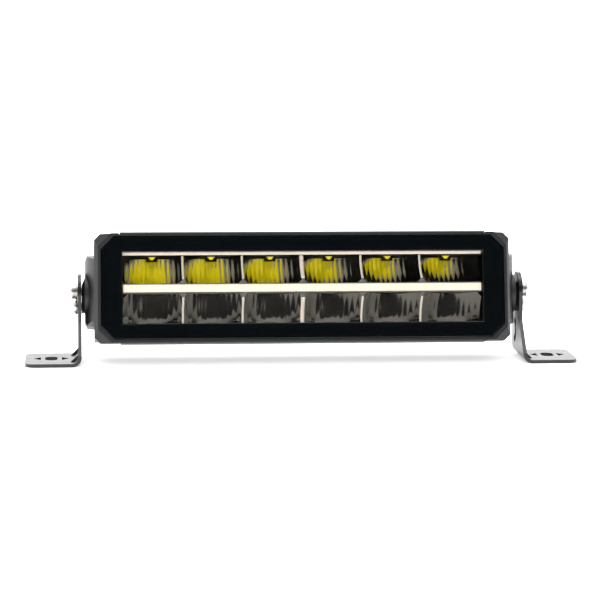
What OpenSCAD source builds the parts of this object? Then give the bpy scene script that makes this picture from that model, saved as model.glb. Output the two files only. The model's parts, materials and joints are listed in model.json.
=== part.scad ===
// Double-row LED light bar with a position-light strip, on a pair of tilting foot brackets.
//
// World frame: millimetres, +Z up, the feet stand on z = 0, the lamp faces -Y.
// Lamp frame: x along the lamp, y back from the front rim, z up from mid-height.

/* [Optics] */
// Number of reflector cells in each row
cell_count = 6; // [4:2:8]
// Width of one reflector cell
cell_pitch = 41; // [40:0.5:43]
// Focal length of the reflector paraboloid
focal = 5.8; // [5.6:0.1:6.2]
// Height of the clear part of the front window
window_h = 48.6; // [47.6:0.2:49]
// Height of the position-light strip
strip_h = 5.2; // [4.6:0.1:5.6]

/* [Housing] */
// Height over the end caps
cap_h = 74.6; // [74.4:0.1:76]
// Depth from the front rim to the fin tips
body_d = 60; // [60:0.5:66]
// How much the extruded housing stands proud of the end caps
housing_step = 0.7; // [0.4:0.1:1]
// Width from the housing's end to the side of the front rim
cap_w = 15.1; // [15:0.1:17]
// 45 degree corner chamfer of the front rim
rim_chamfer = 9; // [8:0.5:10]
// Pitch of the cooling fins on the back
fin_pitch = 6; // [5.6:0.1:6.2]
// Width of the grooves between the fins on the back
fin_groove = 3.8; // [3:0.1:4]

/* [Mounting] */
// Angle of the lamp above level, in the position it is drawn in
tilt = 13; // [-15:1:40]
// Height of the tilt axis above the mounting surface
pivot_h = 47.4; // [46:0.2:50]
// Thickness of the bracket sheet
sheet_t = 2.5; // [2:0.1:3]
// Width of the foot, front to back
foot_w = 48; // [46:0.5:52]
// Reach of the foot from the bracket's inner face to its tip
foot_reach = 38.6; // [36:0.2:42]
// Width of the slot in the foot
foot_slot_w = 8.5; // [6.5:0.1:9]
// End-to-end length of the slot in the foot
foot_slot_len = 15; // [12:0.5:18]
// Distance from the tilt axis to the lock screw
lock_radius = 11.5; // [11.5:0.1:12]

/* [Fasteners] */
// Shank radius of the pivot and lock screws (M6)
m6_r = 3; // [3:0.01:3.02]
// Radial clearance of the bracket hole round the pivot screw
pivot_play = 0.05; // [0.02:0.01:0.1]
// Gap between the bracket and the clamped pieces on each side of it
slide_gap = 0.12; // [0.1:0.02:0.3]

/* [Hidden] */
$fn = 64;
eps = 0.05;

// Housing section
housing_half = cell_count * cell_pitch / 2 + 2;
front_half_h = cap_h / 2 + housing_step;
slope_drop = 4.2;
rear_half_h = front_half_h - slope_drop;
rear_chamfer = 2;
front_d = 14;
slope_d = 21;
recess_d = 6.5;
recess_half_h = cap_h / 2 - 1.9;
bay_half_h = 27.2;
bay_front = 14;
bay_back = 44;
rear_wall_d = 47.5;
groove_floor = bay_half_h + 3;
port_r = 1.65;
ports = [[18, 30.2], [52.8, 28.6]];
rear_seal_half = 25.9;
gasket_inset = 1.2;
milled_half_w = 14;
milled_half_h = 15;
gland_x = -88;
vent_x = 88;

// End caps
gasket_t = 0.6;
cap_in = housing_half + gasket_t;
rim_half_w = housing_half + cap_w;
cap_side = rim_half_w + 2.4;
cap_chamfer = 4;
cap_pocket = 6;
cap_bore_r = 3.2;
cap_bore_d = 2.4;
cap_head_r = 2.9;
cap_head_h = 2;
pad_out = cap_side + 6.4;
pad_half_h = 24.3;
pad_nose_half_h = 19.8;
pad_front = 6;
pad_full = 34;
pad_shoulder = 23;
pad_rear = 54.5;
pad_edge = 1.7;
spacer_floor = cap_side + 1;

// Lens
mask_half_w = rim_half_w - 2.2;
mask_half_h = recess_half_h - 0.3;
mask_chamfer = rim_chamfer + 0.2;
mask_front = 1.2;
mask_back = 5;
window_half_w = cell_count * cell_pitch / 2 + 0.5;
window_lip = 2;
window_step = 4.2;

// Optics
axis_z = 23.2;
optic_top = 24.9;
optic_front = 7.5;
cup_r = 26.25;
vertex_y = optic_front + cup_r * cup_r / (4 * focal);
focus_y = vertex_y - focal;
led_y = focus_y + 2;
shell_back = 3;
strip_half = strip_h / 2;
guide_front = 5.6;
carrier_lip = 0.8;
optic_low = strip_half + carrier_lip + 0.2;
board_z = 25.1;
board_t = 1.6;
dome_tall = 1.7;
dome_low = 0.5;
dome_base_r = 2.2;
dome_tip_r = 1.1;
pad_t = 0.5;
board_front = 15;
board_back = 43;
lug_y = 35;
board_screw_y = 36;
screw_top = board_z + board_t + pad_t + 2.4;
m3_r = 1.45;
m3_hole = 1.5;

// Tilt joint, lamp frame: the pivot is on the mid-height line
pivot_back = 28.5;
lock_angle = -58.5;
lock_y = pivot_back + lock_radius * cos(lock_angle);
lock_z = lock_radius * sin(lock_angle);
flange_y = 30;
flange_z = -2.6;
flange_r = 13.3;
hub_r = 9.8;
insert_r = 4.2;
insert_len = 10;
screw_len = 9.5;
bracket_in = pad_out + 2.3;
bracket_out = bracket_in + sheet_t;
stack_in = bracket_out + slide_gap;
pivot_washer_t = 1.6;
spring_washer_t = 1.9;
lock_washer_t = 1.3;
head_h = 3.7;
pivot_head_r = 5.5;
lock_head_r = 5.3;

// World place of the pivot, so that the whole object is centred front to back
y_low = -pivot_back * cos(tilt) - (cap_h / 2) * sin(tilt);
y_high = (body_d - pivot_back) * cos(tilt) + (rear_half_h - rear_chamfer) * sin(tilt);
pivot_y = -(y_low + y_high) / 2;

// Bracket, side view from the pivot
bend_in = 4.5;
head_y = 1.5;
head_r = 14;
head_top = 12.4;
foot_rear = head_y + head_r;
foot_front = foot_rear - foot_w;
flare_top = -20;
flare_low = -40;
arc_half = 33;
arc_mid = -71;
lock_slot_r = m6_r + 0.2;
vent_slot_y = 7;
vent_slot_z = -28.8;
vent_slot_r = 7;
vent_slot_half_w = 2.25;
tangent_gap = 0.02;
foot_tip = bracket_in + foot_reach;
foot_mid_y = (foot_front + foot_rear) / 2;
foot_corner = 7;
slot_x = bracket_in + 20.8;
arrow_near = 7.2;
arrow_far = 12.2;
arrow_half = 5.75;
dart_y = 14;
dart_leg = 5.2;
dart_w = 3;

// Fin grooves, as distances in the housing section
rear_grooves = [-4 : 4];
top_grooves = [24.9, 29.5, 34.1, 38.7, 43.3];
top_groove_w = 2.8;

// ---- helpers -------------------------------------------------------------------------

// Puts a piece drawn in the lamp frame into the world at the drawn tilt
module in_lamp() {
    translate([0, pivot_y, pivot_h]) rotate([-tilt, 0, 0]) translate([0, -pivot_back, 0])
        children();
}

// Keeps a piece on the right, or mirrors it to the left
module on_side(side) {
    mirror([side < 0 ? 1 : 0, 0, 0]) children();
}

// Extrudes a (y, z) section along x
module along_x(from, to) {
    translate([from, 0, 0]) rotate([90, 0, 90]) linear_extrude(to - from) children();
}

// Extrudes an (x, z) outline along y
module along_y(from, to) {
    translate([0, to, 0]) rotate([90, 0, 0]) linear_extrude(to - from) children();
}

// A round bar along x, centred on (y, z)
module bar_x(from, to, y, z, r) {
    translate([from, y, z]) rotate([0, 90, 0]) cylinder(h = to - from, r = r);
}

// A round bar along y, centred on (x, z)
module bar_y(from, to, x, z, r) {
    translate([x, from, z]) rotate([-90, 0, 0]) cylinder(h = to - from, r = r);
}

// A block given by its low and high corners
module block(low, high) {
    translate(low) cube(high - low);
}

// Outline with 45 degree corners, centred
module octagon(half_w, half_h, chamfer) {
    polygon([
        for (s = [[1, 1, 0], [1, 1, 1], [-1, 1, 1], [-1, 1, 0], [-1, -1, 0], [-1, -1, 1],
                  [1, -1, 1], [1, -1, 0]])
            [s[0] * (half_w - chamfer * s[2]), s[1] * (half_h - chamfer * (1 - s[2]))]
    ]);
}

// Centres of the cells along x
function cell_x(i) = (i - (cell_count - 1) / 2) * cell_pitch;

// Turns a piece drawn for the upper row into the lower row
module in_row(row) {
    mirror([0, 0, row < 0 ? 1 : 0]) children();
}

// ---- housing and end caps ----------------------------------------------------------------

// Outline of the housing's section, or one that lies "inset" inside it
module housing_outline(inset) {
    high = front_half_h - inset;
    rear = rear_half_h - inset;
    back = body_d - inset;
    polygon([
        [inset, high - 0.8], [inset + 0.8, high], [front_d, high],
        [slope_d, rear], [back - rear_chamfer, rear], [back, rear - rear_chamfer],
        [back, rear_chamfer - rear], [back - rear_chamfer, -rear], [slope_d, -rear],
        [front_d, -high], [inset + 0.8, -high], [inset, 0.8 - high]
    ]);
}

module section_square(y0, y1, half) {
    translate([y0, -half]) square([y1 - y0, 2 * half]);
}

module housing_section() {
    difference() {
        housing_outline(0);
        section_square(-1, recess_d, recess_half_h);
        section_square(recess_d - eps, bay_front, recess_half_h - 2.3);
        section_square(bay_front - eps, bay_back, bay_half_h);
        for (i = rear_grooves)
            translate([rear_wall_d, i * fin_pitch - fin_groove / 2])
                square([body_d, fin_groove]);
        for (y = top_grooves, s = [-1, 1])
            translate([y - top_groove_w / 2, s > 0 ? groove_floor : -groove_floor - 9])
                square([top_groove_w, 9]);
        for (p = ports, s = [-1, 1])
            translate([p[0], s * p[1]]) circle(r = port_r);
    }
}

module housing() {
    color("#2b2c2e") in_lamp() difference() {
        along_x(-housing_half, housing_half) housing_section();
        for (x = [gland_x, vent_x])
            block([x - milled_half_w, rear_wall_d, -milled_half_h],
                  [x + milled_half_w, body_d + 1, milled_half_h]);
        bar_y(bay_back - 1, rear_wall_d + 1, gland_x, 0, 8);
        bar_y(bay_back - 1, rear_wall_d + 1, vent_x, 0, 5);
        for (row = [-1, 1]) in_row(row) {
            for (i = [-2, 0, 2])
                translate([i * cell_pitch, board_screw_y, board_z])
                    cylinder(h = screw_top - board_z + 0.2, r = m3_hole);
            for (i = [-1, 1])
                translate([i * cell_pitch, lug_y, board_z])
                    cylinder(h = screw_top - board_z + 0.2, r = m3_hole);
        }
    }
}

// Front outline of one cap half, from the joint out to the side, with chamfered corners
module cap_outline(side_x, half_h, chamfer) {
    polygon([
        [cap_in, -half_h], [side_x - chamfer, -half_h], [side_x, chamfer - half_h],
        [side_x, half_h - chamfer], [side_x - chamfer, half_h], [cap_in, half_h]
    ]);
}

module cap_side_section() {
    half = cap_h / 2;
    rear = half - slope_drop;
    polygon([
        [5.5, half], [front_d, half], [slope_d, rear], [body_d - rear_chamfer, rear],
        [body_d, rear - rear_chamfer], [body_d, rear_chamfer - rear],
        [body_d - rear_chamfer, -rear], [slope_d, -rear], [front_d, -half], [5.5, -half]
    ]);
}

// Raised side pad in plan, with a long round ramp at its front
module pad_plan() {
    rise = pad_out - cap_side + 1;
    run = pad_full - pad_front;
    ramp_r = (rise * rise + run * run) / (2 * rise);
    sweep = asin(run / ramp_r);
    steps = 8;
    polygon([
        for (i = [steps : -1 : 0])
            let (a = sweep * i / steps)
                [pad_out - ramp_r * (1 - cos(a)), pad_full - ramp_r * sin(a)],
        [pad_out, 48], [cap_side - 1, pad_rear]
    ]);
}

// The pad from the side, narrower at its nose
module pad_side() {
    polygon([
        [pad_front - 1, -pad_nose_half_h], [pad_shoulder, -pad_half_h],
        [pad_rear, -pad_half_h], [pad_rear, pad_half_h],
        [pad_shoulder, pad_half_h], [pad_front - 1, pad_nose_half_h]
    ]);
}

module end_cap_body() {
    along_y(0, 2) cap_outline(rim_half_w, cap_h / 2, rim_chamfer);
    hull() {
        along_y(2 - eps, 2) cap_outline(rim_half_w, cap_h / 2, rim_chamfer);
        along_y(5.5, 5.6) cap_outline(cap_side, cap_h / 2, cap_chamfer);
    }
    intersection() {
        along_x(cap_in, cap_side) cap_side_section();
        along_y(5.5, body_d) cap_outline(cap_side, cap_h / 2, cap_chamfer);
    }
    intersection() {
        translate([0, 0, -pad_half_h]) linear_extrude(2 * pad_half_h) pad_plan();
        along_x(cap_side - 1, pad_out) pad_side();
        along_y(0, body_d) polygon([
            [cap_side - 1, -pad_half_h], [pad_out - pad_edge, -pad_half_h],
            [pad_out, 2 * pad_edge - pad_half_h], [pad_out, pad_half_h - 2 * pad_edge],
            [pad_out - pad_edge, pad_half_h], [cap_side - 1, pad_half_h]
        ]);
    }
}

module end_cap(side) {
    color("#333437") in_lamp() on_side(side) difference() {
        end_cap_body();
        along_y(-1, recess_d) intersection() {
            octagon(mask_half_w + 0.3, recess_half_h, mask_chamfer);
            translate([cap_in - 1, -cap_h]) square([cap_w + 2, 2 * cap_h]);
        }
        block([cap_in - 1, recess_d - eps, -recess_half_h + 2.3],
              [mask_half_w - 5, bay_front, recess_half_h - 2.3]);
        block([cap_in - 1, bay_front - eps, -bay_half_h + 2],
              [cap_in + cap_pocket, bay_back, bay_half_h - 2]);
        bar_x(spacer_floor, pad_out + 1, flange_y, flange_z, flange_r + 0.2);
        bar_x(spacer_floor - insert_len, pad_out, pivot_back, 0, insert_r);
        bar_x(spacer_floor - insert_len, pad_out, lock_y, lock_z, insert_r);
        for (p = ports, s = [-1, 1]) {
            bar_x(cap_in - 1, cap_side + 1, p[0], s * p[1], 2.2);
            bar_x(cap_side - cap_bore_d, cap_side + 1, p[0], s * p[1], cap_bore_r);
        }
    }
}

module cap_gasket(side) {
    color("#1d1d1d") in_lamp() on_side(side) along_x(housing_half, cap_in) difference() {
        housing_outline(gasket_inset);
        section_square(-1, recess_d, recess_half_h);
        section_square(recess_d - eps, bay_front, recess_half_h - 2.3);
        section_square(bay_front - eps, bay_back, bay_half_h);
        section_square(rear_wall_d, body_d, rear_seal_half);
        for (p = ports, s = [-1, 1])
            translate([p[0], s * p[1]]) circle(r = 2.2);
    }
}

module end_cap_screws() {
    color("#8f9194") in_lamp() for (side = [-1, 1], p = ports, s = [-1, 1])
        on_side(side) difference() {
            union() {
                bar_x(cap_side - cap_bore_d, cap_side - cap_bore_d + cap_head_h,
                      p[0], s * p[1], cap_head_r);
                bar_x(housing_half - 10, cap_side - cap_bore_d + eps, p[0], s * p[1],
                      port_r - 0.02);
            }
            translate([cap_side - cap_bore_d + 0.8, p[0], s * p[1]]) rotate([0, 90, 0])
                cylinder(h = 2, r = 1.4, $fn = 6);
        }
}

// ---- lens ------------------------------------------------------------------------------------

module window_opening(extra) {
    square([2 * (window_half_w + extra), window_h + 2 * extra], center = true);
}

module lens_mask() {
    color("#101416") in_lamp() difference() {
        along_y(mask_front, mask_back) octagon(mask_half_w, mask_half_h, mask_chamfer);
        along_y(0, mask_back + 1) window_opening(0);
        along_y(window_step, mask_back + 1) window_opening(window_lip);
    }
}

module lens_window() {
    color([0.85, 0.9, 0.92, 0.3]) in_lamp() {
        along_y(mask_front, window_step) window_opening(0);
        along_y(window_step, mask_back) window_opening(window_lip);
    }
}

module lens_seal() {
    color("#202020") in_lamp() along_y(mask_back, recess_d) difference() {
        octagon(mask_half_w, mask_half_h, mask_chamfer);
        octagon(mask_half_w - 4.6, recess_half_h - 2.3, mask_chamfer - 2);
    }
}

// ---- optics ---------------------------------------------------------------------------------

// Solid of revolution inside a paraboloid about the cell's axis, "back" deeper than the mirror
module paraboloid(back) {
    steps = 9;
    wide = 36;
    translate([0, 0, axis_z]) rotate([-90, 0, 0]) rotate_extrude() polygon([
        [0, -30],
        [wide, -30],
        for (i = [0 : steps])
            let (r = wide * (1 - i / steps)) [r, vertex_y + back - r * r / (4 * focal)]
    ]);
}

module reflector_cell() {
    half = cell_pitch / 2;
    difference() {
        union() {
            intersection() {
                paraboloid(shell_back);
                block([-half, optic_front, optic_low], [half, vertex_y + shell_back, optic_top]);
            }
            block([-half, optic_front, optic_low], [half, optic_front + 1.5, optic_top]);
        }
        paraboloid(0);
        block([-4, led_y - 4, optic_top - 3.5], [4, vertex_y + shell_back + 1, optic_top + 1]);
    }
}

module reflector(row) {
    color("#8d8f93") in_lamp() in_row(row) {
        for (i = [0 : cell_count - 1]) translate([cell_x(i), 0, 0]) reflector_cell();
        for (side = [-1, 1]) on_side(side)
            block([cell_count * cell_pitch / 2, optic_front, optic_low],
                  [cell_count * cell_pitch / 2 + 1.2, 30, optic_top]);
        for (i = [-1, 1]) difference() {
            block([i * cell_pitch - 6, lug_y - 5, optic_top - 2],
                  [i * cell_pitch + 6, lug_y + 3.5, optic_top]);
            translate([i * cell_pitch, lug_y, optic_top - 3]) cylinder(h = 4, r = m3_hole);
        }
    }
}

// One pan-head M3 screw, head face at z = base, shank upwards
module m3_screw(base) {
    translate([0, 0, base - 1.8]) cylinder(h = 1.8, r = 2.7);
    translate([0, 0, base - eps]) cylinder(h = screw_top - base, r = m3_r);
}

module reflector_screws() {
    color("#b9bbbe") in_lamp() for (row = [-1, 1], i = [-1, 1]) in_row(row)
        translate([i * cell_pitch, lug_y, 0]) m3_screw(optic_top - 2);
}

module board_screws() {
    color("#b9bbbe") in_lamp() for (row = [-1, 1], i = [-2, 0, 2]) in_row(row)
        translate([i * cell_pitch, board_screw_y, 0]) m3_screw(board_z);
}

module board_plate(low, high) {
    half = housing_half - 3;
    difference() {
        block([-half, board_front, low], [half, board_back, high]);
        for (i = [-2, 0, 2]) translate([i * cell_pitch, board_screw_y, low - 1])
            cylinder(h = high - low + 2, r = m3_hole);
        for (i = [-1, 1]) translate([i * cell_pitch, lug_y, low - 1])
            cylinder(h = high - low + 2, r = m3_hole);
    }
}

module led_board(row) {
    color("#e8e8e4") in_lamp() in_row(row) board_plate(board_z, board_z + board_t);
}

module thermal_pads() {
    color("#9aa7b5") in_lamp() for (row = [-1, 1]) in_row(row)
        board_plate(board_z + board_t, board_z + board_t + pad_t);
}

module leds(row) {
    color("#d8d8d0") in_lamp() in_row(row) for (i = [0 : cell_count - 1])
        translate([cell_x(i), led_y, 0]) block([-2.5, -2.5, board_z - 1.2], [2.5, 2.5, board_z]);
}

// The upper row has tall domes, and the lower row low ones that stay below the line of sight
module led_phosphors(row) {
    base = board_z - 1.2;
    dome_h = row > 0 ? dome_tall : dome_low;
    color("#e6d21e") in_lamp() in_row(row) for (i = [0 : cell_count - 1])
        translate([cell_x(i), led_y, base - dome_h])
            cylinder(h = dome_h, r1 = row > 0 ? dome_tip_r : dome_base_r, r2 = dome_base_r);
}

// ---- position light --------------------------------------------------------------------------

module light_guide() {
    half = cell_count * cell_pitch / 2;
    color("#e4dfd4") in_lamp()
        block([-half, guide_front, -strip_half], [half, guide_front + 5.6, strip_half]);
}

module light_guide_carrier() {
    half = cell_count * cell_pitch / 2;
    out = strip_half + carrier_lip;
    color("#55585c") in_lamp() difference() {
        block([-half, guide_front + 1.4, -out], [half, guide_front + 10, out]);
        block([-half - 1, guide_front, -strip_half], [half + 1, guide_front + 8.2, strip_half]);
    }
}

module position_board() {
    half = cell_count * cell_pitch / 2 - 1;
    color("#f0f0ea") in_lamp()
        block([-half, guide_front + 6.8, -strip_half], [half, guide_front + 8.2, strip_half]);
}

module position_leds() {
    count = 2 * cell_count;
    color("#e9d66b") in_lamp() for (i = [0 : count - 1])
        translate([(i - (count - 1) / 2) * cell_pitch / 2, 0, 0])
            block([-1.4, guide_front + 5.8, -1.4], [1.4, guide_front + 6.8, 1.4]);
}

// ---- driver and wiring ------------------------------------------------------------------------

driver_y = 41.4;
driver_t = 1.6;
wire_x = 116;
wire_y = 39.5;
wire_z = 13.5;

module driver_board() {
    color("#1f5a3a") in_lamp() block([-60, driver_y, -15], [60, driver_y + driver_t, 15]);
}

module driver_pad() {
    color("#9aa7b5") in_lamp() block([-56, driver_y + driver_t, -13], [56, bay_back, 13]);
}

module driver_inductors() {
    color("#4a4a4c") in_lamp() for (x = [-38, 20])
        block([x - 6, driver_y - 7, -6], [x + 6, driver_y, 6]);
}

module driver_capacitors() {
    color("#6f7b86") in_lamp() for (x = [-22, -11, 38])
        bar_y(driver_y - 9, driver_y, x, 0, 4);
}

module driver_connector() {
    color("#efeee6") in_lamp() block([-56, driver_y - 7, -5], [-48, driver_y, 5]);
}

module led_wires() {
    mid_y = driver_y + driver_t / 2;
    color("#a02a24") in_lamp() for (side = [-1, 1]) on_side(side) {
        translate([wire_x, wire_y, -board_z]) cylinder(h = 2 * board_z, r = 1.1);
        bar_x(60, wire_x, mid_y, wire_z, 0.7);
        bar_y(wire_y, mid_y, wire_x, wire_z, 0.7);
    }
}

// ---- gland and vent ---------------------------------------------------------------------------

gland_bore = 3.5;

module hex_y(from, to, x, across) {
    translate([x, from, 0]) rotate([-90, 0, 0])
        cylinder(h = to - from, r = across / sqrt(3), $fn = 6);
}

module cable_gland() {
    color("#1a1b1c") in_lamp() difference() {
        union() {
            hex_y(rear_wall_d, 52, gland_x, 20);
            bar_y(40.2, rear_wall_d + eps, gland_x, 0, 7.9);
            bar_y(52 - eps, 57, gland_x, 0, 7.4);
        }
        bar_y(39, 54, gland_x, 0, gland_bore);
        bar_y(54 - eps, 58, gland_x, 0, 5.6);
    }
}

module gland_nut() {
    color("#202122") in_lamp() difference() {
        union() {
            hex_y(52.2, 60, gland_x, 20);
            bar_y(60 - eps, 63, gland_x, 0, 8);
        }
        bar_y(52, 57.2, gland_x, 0, 7.5);
        bar_y(57, 61, gland_x, 0, 5.6);
        bar_y(60, 64, gland_x, 0, gland_bore);
    }
}

module gland_seal() {
    color("#3a3a3a") in_lamp() difference() {
        bar_y(54, 61, gland_x, 0, 5.5);
        bar_y(53, 62, gland_x, 0, gland_bore);
    }
}

module gland_locknut() {
    color("#b8bcc0") in_lamp() difference() {
        hex_y(40.6, bay_back, gland_x, 20);
        bar_y(40, bay_back + 1, gland_x, 0, 8);
    }
}

module breather_vent() {
    color("#1a1b1c") in_lamp() difference() {
        union() {
            bar_y(rear_wall_d, 53, vent_x, 0, 8);
            bar_y(41, rear_wall_d + eps, vent_x, 0, 4.9);
        }
        bar_y(40, 51, vent_x, 0, 2);
        for (a = [0 : 60 : 300])
            translate([vent_x, 50.5, 0]) rotate([0, a, 0]) cylinder(h = 10, r = 0.8);
    }
}

// ---- tilt joint --------------------------------------------------------------------------------

module pivot_spacer(side) {
    hub_y = (pivot_back + lock_y) / 2;
    hub_z = lock_z / 2;
    color("#141414") in_lamp() on_side(side) difference() {
        union() {
            bar_x(spacer_floor, pad_out + 0.1, flange_y, flange_z, flange_r);
            hull() {
                bar_x(pad_out, pad_out + 0.1, flange_y, flange_z, flange_r - 1.3, $fn = 48);
                bar_x(bracket_in - slide_gap - 0.3, bracket_in - slide_gap, hub_y, hub_z,
                      hub_r, $fn = 48);
            }
        }
        bar_x(spacer_floor - 1, bracket_in, pivot_back, 0, m6_r + 0.1);
        bar_x(spacer_floor - 1, bracket_in, lock_y, lock_z, m6_r + 0.1);
    }
}

module threaded_inserts() {
    color("#c8a850") in_lamp() for (side = [-1, 1]) on_side(side)
        for (p = [[pivot_back, 0], [lock_y, lock_z]]) difference() {
            bar_x(spacer_floor - insert_len, spacer_floor, p[0], p[1], insert_r);
            bar_x(spacer_floor - insert_len - 1, spacer_floor + 1, p[0], p[1], m6_r);
        }
}

// Button-head screw along x: the head's flat is at "seat" and its dome points outwards
module button_screw(seat, y, z, dome_r) {
    ball_r = (dome_r * dome_r + head_h * head_h) / (2 * head_h);
    half_arc = asin(dome_r / ball_r);
    difference() {
        translate([seat, y, z]) rotate([0, 90, 0]) rotate_extrude() polygon([
            [0, spacer_floor - screw_len - seat],
            [m6_r, spacer_floor - screw_len - seat],
            [m6_r, 0],
            for (i = [0 : 8])
                let (a = half_arc * (1 - i / 8)) [ball_r * sin(a), head_h - ball_r * (1 - cos(a))]
        ]);
        translate([seat + head_h - 2, y, z]) rotate([0, 90, 0])
            cylinder(h = 3, r = 4 / sqrt(3), $fn = 6);
    }
}

module washer(from, thick, y, z, r) {
    difference() {
        bar_x(from, from + thick, y, z, r);
        bar_x(from - 1, from + thick + 1, y, z, m6_r + 0.1);
    }
}

module pivot_washers() {
    color("#c9c8c4") in_lamp() for (side = [-1, 1]) on_side(side)
        washer(stack_in, pivot_washer_t, pivot_back, 0, 5.6);
}

module pivot_spring_washers() {
    from = stack_in + pivot_washer_t;
    color("#a9a8a4") in_lamp() for (side = [-1, 1]) on_side(side) difference() {
        washer(from, spring_washer_t, pivot_back, 0, 4.9);
        translate([from - 1, pivot_back - 0.5, 2]) rotate([18, 0, 0])
            cube([spring_washer_t + 2, 1, 5]);
    }
}

module pivot_screws() {
    color("#d8d6d2") in_lamp() for (side = [-1, 1]) on_side(side)
        button_screw(stack_in + pivot_washer_t + spring_washer_t, pivot_back, 0, pivot_head_r);
}

module lock_washers() {
    color("#c9c8c4") in_lamp() for (side = [-1, 1]) on_side(side)
        washer(stack_in, lock_washer_t, lock_y, lock_z, 5.3);
}

module lock_screws() {
    color("#d8d6d2") in_lamp() for (side = [-1, 1]) on_side(side)
        button_screw(stack_in + lock_washer_t, lock_y, lock_z, lock_head_r);
}

// ---- brackets ------------------------------------------------------------------------------------

// Upright, bend and foot as one bent strip, in the (x, z) plane
module bracket_strip() {
    bend_out = bend_in + sheet_t;
    translate([bracket_in, bend_out]) square([sheet_t, pivot_h + head_top]);
    translate([bracket_in + bend_out, 0]) square([foot_reach - bend_out, sheet_t]);
    translate([bracket_in + bend_out, bend_out]) intersection() {
        difference() {
            circle(r = bend_out);
            circle(r = bend_in);
        }
        translate([-bend_out, -bend_out]) square(bend_out);
    }
}

// Side view of the upright, (y, z) from the pivot; it widens to the foot below
module bracket_side() {
    translate([head_y, head_top - head_r]) circle(r = head_r);
    polygon([
        [head_y - head_r, head_top - head_r], [head_y - head_r, flare_top],
        [foot_front, flare_low], [foot_front, -pivot_h - 1], [foot_rear, -pivot_h - 1],
        [foot_rear, head_top - head_r]
    ]);
}

// A slot along an arc about the origin, in the (y, z) plane
module arc_slot(r, half_w, mid, half) {
    far = 2 * (r + half_w);
    intersection() {
        difference() {
            circle(r = r + half_w);
            circle(r = r - half_w);
        }
        polygon([
            [0, 0],
            [far * cos(mid - half), far * sin(mid - half)],
            [far * cos(mid), far * sin(mid)],
            [far * cos(mid + half), far * sin(mid + half)]
        ]);
    }
    for (s = [-1, 1]) rotate(mid + s * half) translate([r, 0]) circle(r = half_w - tangent_gap);
}

// Foot seen from above, with round corners at its tip
module foot_outline() {
    inner = foot_tip - foot_corner;
    translate([bracket_in - 1, foot_front]) square([inner - bracket_in + 1, foot_w]);
    translate([bracket_in - 1, foot_front + foot_corner])
        square([foot_reach + 1, foot_w - 2 * foot_corner]);
    for (y = [foot_front + foot_corner, foot_rear - foot_corner])
        translate([inner, y]) circle(r = foot_corner);
}

// Slot for the mounting bolt, with a small arrow cut out on each side of it
module foot_cuts() {
    run = (foot_slot_len - foot_slot_w) / 2;
    translate([slot_x, foot_mid_y]) {
        square([foot_slot_w, 2 * run], center = true);
        for (s = [-1, 1]) {
            translate([0, s * run]) circle(r = foot_slot_w / 2);
            polygon([
                [s * arrow_near, -arrow_half], [s * arrow_far, 0], [s * arrow_near, arrow_half]
            ]);
        }
    }
}

module bracket(side) {
    pivot_hole = m6_r + pivot_play;
    color("#2a2a2c") translate([0, pivot_y, 0]) on_side(side) {
        difference() {
            intersection() {
                translate([0, foot_rear, 0]) rotate([90, 0, 0]) linear_extrude(foot_w)
                    bracket_strip();
                translate([0, 0, pivot_h]) along_x(bracket_in - 1, foot_tip + 1) bracket_side();
                linear_extrude(3 * pivot_h) foot_outline();
            }
            translate([0, 0, pivot_h]) {
                bar_x(bracket_in - 1, bracket_out + 1, 0, 0, pivot_hole);
                along_x(bracket_in - 1, bracket_out + 1) {
                    arc_slot(lock_radius, lock_slot_r, arc_mid, arc_half);
                    translate([vent_slot_y, vent_slot_z])
                        arc_slot(vent_slot_r, vent_slot_half_w, 180, 68);
                }
            }
            translate([0, 0, -1]) linear_extrude(sheet_t + 2) foot_cuts();
        }
        for (s = [-1, 1])
            translate([bracket_out - eps, foot_mid_y + s * dart_y + dart_w / 2, sheet_t - eps])
                rotate([90, 0, 0]) linear_extrude(dart_w)
                    polygon([[0, 0], [dart_leg, 0], [0, dart_leg]]);
    }
}

// ---- the nodes -----------------------------------------------------------------------------------

housing();
end_cap(-1);  // left_end_cap
end_cap(1);  // right_end_cap
cap_gasket(-1);  // left_cap_gasket
cap_gasket(1);  // right_cap_gasket
end_cap_screws();
lens_window();
lens_mask();
lens_seal();
reflector(1);  // upper_reflector
reflector(-1);  // lower_reflector
reflector_screws();
led_board(1);  // upper_led_board
led_board(-1);  // lower_led_board
board_screws();
thermal_pads();
leds(1);  // upper_leds
leds(-1);  // lower_leds
led_phosphors(1);  // upper_led_phosphors
led_phosphors(-1);  // lower_led_phosphors
light_guide();
light_guide_carrier();
position_board();
position_leds();
driver_board();
driver_pad();
driver_inductors();
driver_capacitors();
driver_connector();
led_wires();
cable_gland();
gland_nut();
gland_seal();
gland_locknut();
breather_vent();
pivot_spacer(-1);  // left_pivot_spacer
pivot_spacer(1);  // right_pivot_spacer
threaded_inserts();
pivot_screws();
pivot_spring_washers();
pivot_washers();
lock_screws();
lock_washers();
bracket(-1);  // left_bracket
bracket(1);  // right_bracket
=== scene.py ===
"""Looks of a double-row LED light bar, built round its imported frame.

Lamp pieces are drawn in the lamp's own frame in millimetres (x along the lamp, y back from the
front rim, z up from mid-height) and then put in the world in metres. A finished piece's object
stays at the origin.
"""

import json
import logging
import math
from dataclasses import dataclass, field
from enum import Enum
from typing import Iterable

import bmesh
import bpy
from mathutils import Matrix, Vector


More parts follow.
